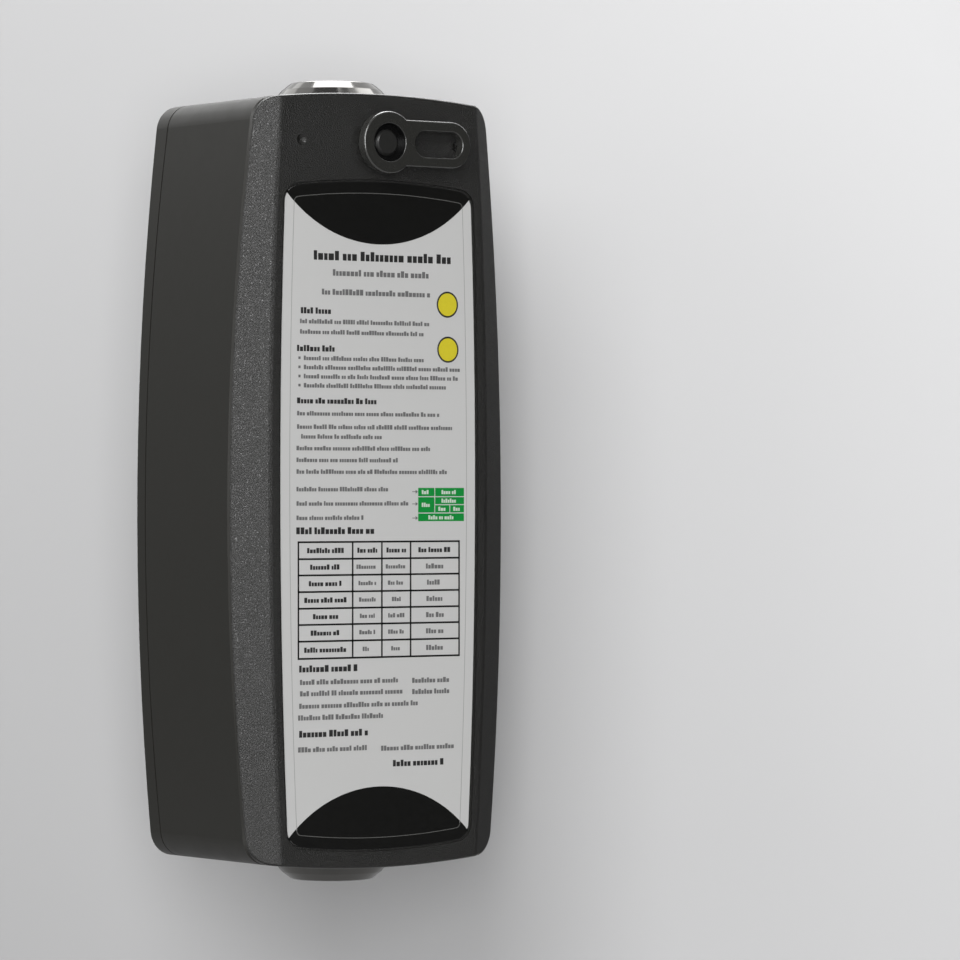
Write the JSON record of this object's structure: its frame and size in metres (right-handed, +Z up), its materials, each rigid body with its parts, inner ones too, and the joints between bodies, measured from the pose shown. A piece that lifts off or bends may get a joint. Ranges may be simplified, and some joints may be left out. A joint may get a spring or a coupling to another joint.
{
  "type": "portable electric vehicle charger control box",
  "caption": "In-cable charging control box with bowed shells, a label pocket, a swivelling slotted holder and a cable gland at each end.",
  "frame": {"origin": "centre of the bounding box of the whole object, the holder lying sideways included", "axes": "+Z up the long axis towards the holder and the supply gland, +Y towards the front cover with the display, +X the way the holder points at rest"},
  "size_m": [0.1024, 0.0666, 0.2498],
  "materials": {
    "smooth_shell": "satin moulded, dark warm grey",
    "textured_shell": "fine spark texture, dark warm grey",
    "label_film": "printed film, light grey with black ends",
    "window_black": "polished tinted window",
    "holder_paint": "satin black coat",
    "pin_black": "blackened steel",
    "gland_metal": "polished plated metal",
    "zinc_steel": "zinc plated",
    "brass_insert": "turned",
    "seal_rubber": "matt black",
    "light_pipe": "frosted clear",
    "board_green": "solder mask",
    "chip_black": "moulded",
    "display_glass": "display glass in a frame",
    "relay_case": "moulded case",
    "copper_bar": "bare copper",
    "component_blue": "dipped coat",
    "terminal_green": "moulded",
    "core_grey": "coated core",
    "ribbon_grey": "flat cable"
  },
  "bodies": {
    "box": {"back_cover": "textured_shell", "main_housing": "smooth_shell", "front_cover": "smooth_shell", "back_seal": "seal_rubber", "front_seal": "seal_rubber", "back_label": "label_film", "pivot_pin": "pin_black", "pivot_insert": "brass_insert", "supply_gland": "gland_metal", "output_gland": "gland_metal", "supply_bush": "seal_rubber", "output_bush": "seal_rubber", "supply_locknut": "zinc_steel", "output_locknut": "zinc_steel", "back_cover_screws": "zinc_steel", "power_board_screws": "zinc_steel", "front_cover_screws": "zinc_steel", "control_board_screws": "zinc_steel", "display_window": "window_black", "display_module": "display_glass", "status_leds": "light_pipe", "light_pipes": "light_pipe", "control_board": "board_green", "controller_chip": "chip_black", "shake_sensor": "chip_black", "buzzer": "chip_black", "power_board": "board_green", "supply_terminals": "terminal_green", "output_terminals": "terminal_green", "relays": "relay_case", "leakage_sensor": "core_grey", "sensor_bars": "copper_bar", "power_converter": "chip_black", "line_choke": "core_grey", "capacitors": "component_blue", "fuse": "core_grey", "varistor": "component_blue", "link_sockets": "terminal_green", "link_ribbon": "ribbon_grey"},
    "holder": {"holder_arm": "holder_paint"}
  },
  "joints": [
    {"name": "holder_swivel", "type": "hinge", "parent": "box", "child": "holder", "pos_m": [0, -0.03, 0.1047], "axis": [0, -1, 0], "continuous": true}
  ]
}
